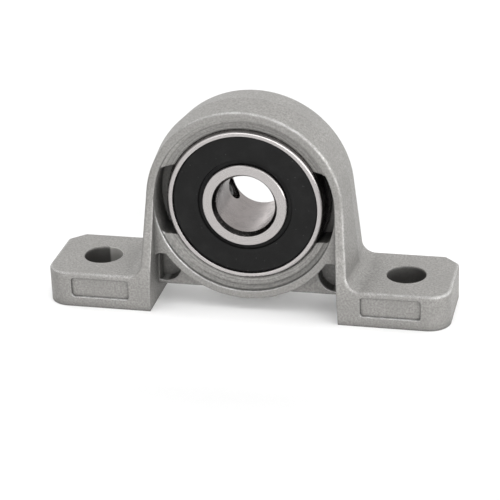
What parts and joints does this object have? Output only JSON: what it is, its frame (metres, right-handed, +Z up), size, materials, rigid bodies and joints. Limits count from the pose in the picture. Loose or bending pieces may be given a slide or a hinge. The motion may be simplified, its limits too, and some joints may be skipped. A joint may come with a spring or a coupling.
{
  "type": "pillow block bearing",
  "caption": "Small die-cast pillow block with bolt feet and a sealed self-aligning ball bearing insert that grips a shaft with set screws.",
  "frame": {"origin": "on the mounting plane, midway between the two bolt holes", "axes": "+X along the feet, +Y along the shaft from the insert's flush face to its collar, +Z up from the mounting plane"},
  "size_m": [0.055, 0.014, 0.0287],
  "materials": {
    "cast_zinc": "matte as-cast zinc alloy with a fine sandy grain",
    "bearing_steel": "ground bright bearing steel",
    "ball_steel": "polished",
    "cage_steel": "pressed sheet steel",
    "seal_rubber": "matte moulded nitrile rubber",
    "black_steel": "black-oxide steel"
  },
  "bodies": {
    "housing": {"housing": "cast_zinc"},
    "insert": {"outer_ring": "bearing_steel", "seal_front": "seal_rubber", "seal_front_core": "cage_steel", "seal_rear": "seal_rubber", "seal_rear_core": "cage_steel"},
    "inner_ring": {"inner_ring": "bearing_steel"},
    "cage": {"cage_front": "cage_steel", "cage_rear": "cage_steel", "cage_rivet_1": "cage_steel", "cage_rivet_2": "cage_steel", "cage_rivet_3": "cage_steel", "cage_rivet_4": "cage_steel", "cage_rivet_5": "cage_steel", "cage_rivet_6": "cage_steel", "cage_rivet_7": "cage_steel"},
    "ball_1": {"ball_1": "ball_steel"},
    "ball_2": {"ball_2": "ball_steel"},
    "ball_3": {"ball_3": "ball_steel"},
    "ball_4": {"ball_4": "ball_steel"},
    "ball_5": {"ball_5": "ball_steel"},
    "ball_6": {"ball_6": "ball_steel"},
    "ball_7": {"ball_7": "ball_steel"},
    "set_screw_1": {"set_screw_1": "black_steel"},
    "set_screw_2": {"set_screw_2": "black_steel"}
  },
  "joints": [
    {"name": "insert_tilt", "type": "hinge", "parent": "housing", "child": "insert", "pos_m": [0, 0, 0.015], "axis": [1, 0, 0], "range_deg": [-90, 90]},
    {"name": "shaft_spin", "type": "hinge", "parent": "insert", "child": "inner_ring", "pos_m": [0, 0, 0.015], "axis": [0, 1, 0], "continuous": true},
    {"name": "cage_spin", "type": "hinge", "parent": "insert", "child": "cage", "pos_m": [0, 0, 0.015], "axis": [0, 1, 0], "continuous": true},
    {"name": "ball_1_spin", "type": "hinge", "parent": "cage", "child": "ball_1", "pos_m": [0, 0, 0.0225], "axis": [0, 1, 0], "continuous": true},
    {"name": "ball_2_spin", "type": "hinge", "parent": "cage", "child": "ball_2", "pos_m": [-0.00586, 0, 0.01968], "axis": [0, 1, 0], "continuous": true},
    {"name": "ball_3_spin", "type": "hinge", "parent": "cage", "child": "ball_3", "pos_m": [-0.00731, 0, 0.01333], "axis": [0, 1, 0], "continuous": true},
    {"name": "ball_4_spin", "type": "hinge", "parent": "cage", "child": "ball_4", "pos_m": [-0.00325, 0, 0.00824], "axis": [0, 1, 0], "continuous": true},
    {"name": "ball_5_spin", "type": "hinge", "parent": "cage", "child": "ball_5", "pos_m": [0.00325, 0, 0.00824], "axis": [0, 1, 0], "continuous": true},
    {"name": "ball_6_spin", "type": "hinge", "parent": "cage", "child": "ball_6", "pos_m": [0.00731, 0, 0.01333], "axis": [0, 1, 0], "continuous": true},
    {"name": "ball_7_spin", "type": "hinge", "parent": "cage", "child": "ball_7", "pos_m": [0.00586, 0, 0.01968], "axis": [0, 1, 0], "continuous": true},
    {"name": "set_screw_1_travel", "type": "slide", "parent": "inner_ring", "child": "set_screw_1", "axis": [-0.9205, 0, -0.3907], "range_m": [-0.0003, 0.001]},
    {"name": "set_screw_2_travel", "type": "slide", "parent": "inner_ring", "child": "set_screw_2", "axis": [0.1219, 0, 0.9925], "range_m": [-0.0003, 0.001]}
  ],
  "couplings": [
    {"joint": "cage_spin", "follows": "shaft_spin", "ratio": 0.3677},
    {"joint": "ball_1_spin", "follows": "shaft_spin", "ratio": -1.7573},
    {"joint": "ball_2_spin", "follows": "shaft_spin", "ratio": -1.7573},
    {"joint": "ball_3_spin", "follows": "shaft_spin", "ratio": -1.7573},
    {"joint": "ball_4_spin", "follows": "shaft_spin", "ratio": -1.7573},
    {"joint": "ball_5_spin", "follows": "shaft_spin", "ratio": -1.7573},
    {"joint": "ball_6_spin", "follows": "shaft_spin", "ratio": -1.7573},
    {"joint": "ball_7_spin", "follows": "shaft_spin", "ratio": -1.7573}
  ]
}
